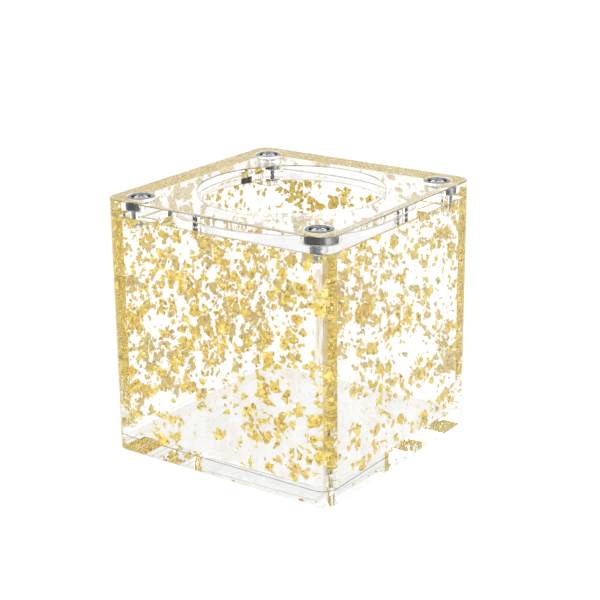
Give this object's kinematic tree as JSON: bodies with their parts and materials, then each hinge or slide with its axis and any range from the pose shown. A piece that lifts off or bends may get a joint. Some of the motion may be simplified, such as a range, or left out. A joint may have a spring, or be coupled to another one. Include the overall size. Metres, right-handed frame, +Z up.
{
  "type": "acrylic cube box",
  "caption": "Clear acrylic cube box with gilded flake walls and a screwed-on top plate with a large round opening",
  "frame": {"origin": "centre of the flat underside of the base plate", "axes": "+Z up through the round opening, +X towards the right face, -Y towards the front face"},
  "size_m": [0.13, 0.13, 0.13],
  "materials": {
    "clear_acrylic": "polished",
    "flake_acrylic": "polished",
    "polished_chrome": "polished",
    "insert_steel": "satin"
  },
  "bodies": {
    "box": {"base_plate": "clear_acrylic", "left_wall": "flake_acrylic", "right_wall": "flake_acrylic", "front_wall": "flake_acrylic", "back_wall": "flake_acrylic", "corner_block_front_right": "clear_acrylic", "corner_block_front_left": "clear_acrylic", "corner_block_back_left": "clear_acrylic", "corner_block_back_right": "clear_acrylic", "thread_insert_front_right": "insert_steel", "thread_insert_front_left": "insert_steel", "thread_insert_back_left": "insert_steel", "thread_insert_back_right": "insert_steel"},
    "lid": {"lid_plate": "clear_acrylic"},
    "cup_front_right": {"cup_washer_front_right": "polished_chrome"},
    "cup_front_left": {"cup_washer_front_left": "polished_chrome"},
    "cup_back_left": {"cup_washer_back_left": "polished_chrome"},
    "cup_back_right": {"cup_washer_back_right": "polished_chrome"},
    "screw_front_right": {"lid_screw_front_right": "polished_chrome"},
    "screw_front_left": {"lid_screw_front_left": "polished_chrome"},
    "screw_back_left": {"lid_screw_back_left": "polished_chrome"},
    "screw_back_right": {"lid_screw_back_right": "polished_chrome"}
  },
  "joints": [
    {"name": "lid_lift", "type": "slide", "parent": "box", "child": "lid", "axis": [0, 0, 1], "range_m": [0, 0.05]},
    {"name": "cup_rise_front_right", "type": "slide", "parent": "lid", "child": "cup_front_right", "axis": [0, 0, 1], "range_m": [0, 0.01409]},
    {"name": "cup_rise_front_left", "type": "slide", "parent": "lid", "child": "cup_front_left", "axis": [0, 0, 1], "range_m": [0, 0.01409]},
    {"name": "cup_rise_back_left", "type": "slide", "parent": "lid", "child": "cup_back_left", "axis": [0, 0, 1], "range_m": [0, 0.01409]},
    {"name": "cup_rise_back_right", "type": "slide", "parent": "lid", "child": "cup_back_right", "axis": [0, 0, 1], "range_m": [0, 0.01409]},
    {"name": "screw_turn_front_right", "type": "hinge", "parent": "cup_front_right", "child": "screw_front_right", "pos_m": [0.052, -0.052, 0.1274], "axis": [0, 0, 1], "range_deg": [0, 7250]},
    {"name": "screw_turn_front_left", "type": "hinge", "parent": "cup_front_left", "child": "screw_front_left", "pos_m": [-0.052, -0.052, 0.1274], "axis": [0, 0, 1], "range_deg": [0, 7250]},
    {"name": "screw_turn_back_left", "type": "hinge", "parent": "cup_back_left", "child": "screw_back_left", "pos_m": [-0.052, 0.052, 0.1274], "axis": [0, 0, 1], "range_deg": [0, 7250]},
    {"name": "screw_turn_back_right", "type": "hinge", "parent": "cup_back_right", "child": "screw_back_right", "pos_m": [0.052, 0.052, 0.1274], "axis": [0, 0, 1], "range_deg": [0, 7250]}
  ],
  "couplings": [
    {"joint": "screw_turn_front_right", "follows": "cup_rise_front_right", "rad_per_m": 8976},
    {"joint": "screw_turn_front_left", "follows": "cup_rise_front_left", "rad_per_m": 8976},
    {"joint": "screw_turn_back_left", "follows": "cup_rise_back_left", "rad_per_m": 8976},
    {"joint": "screw_turn_back_right", "follows": "cup_rise_back_right", "rad_per_m": 8976}
  ]
}
